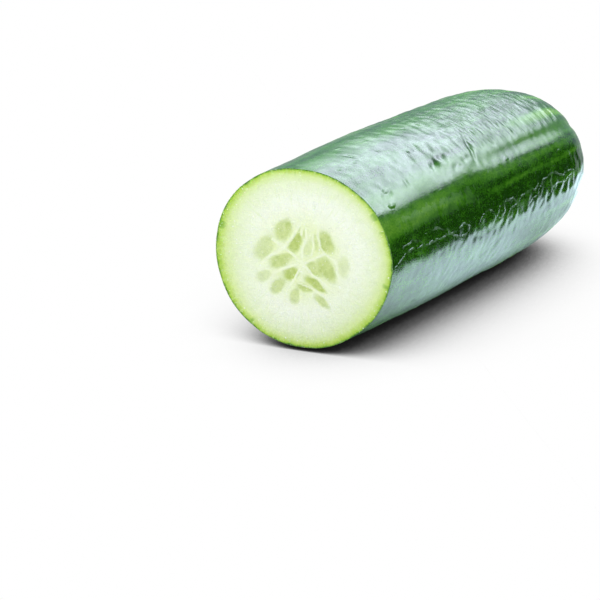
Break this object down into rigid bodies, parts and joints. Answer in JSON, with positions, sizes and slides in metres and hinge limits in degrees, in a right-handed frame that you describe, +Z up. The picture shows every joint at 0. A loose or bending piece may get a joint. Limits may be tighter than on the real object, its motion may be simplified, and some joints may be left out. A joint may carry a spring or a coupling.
{
  "type": "cucumber",
  "caption": "Length of fresh cucumber lying on its side, cut across at one end to show pale flesh and seeds, with a rounded blossom end.",
  "frame": {"origin": "under the middle of its box, on the surface that it lies on", "axes": "+X along the fruit from the cut to the blossom end, +Z up, +Y to the left when looking along +X"},
  "size_m": [0.1294, 0.0488, 0.048],
  "materials": {
    "skin": "waxy satin-gloss deep green skin, with wet pale green flesh and seeds on the cut face"
  },
  "bodies": {
    "root": {"cucumber": "skin"}
  },
  "joints": []
}
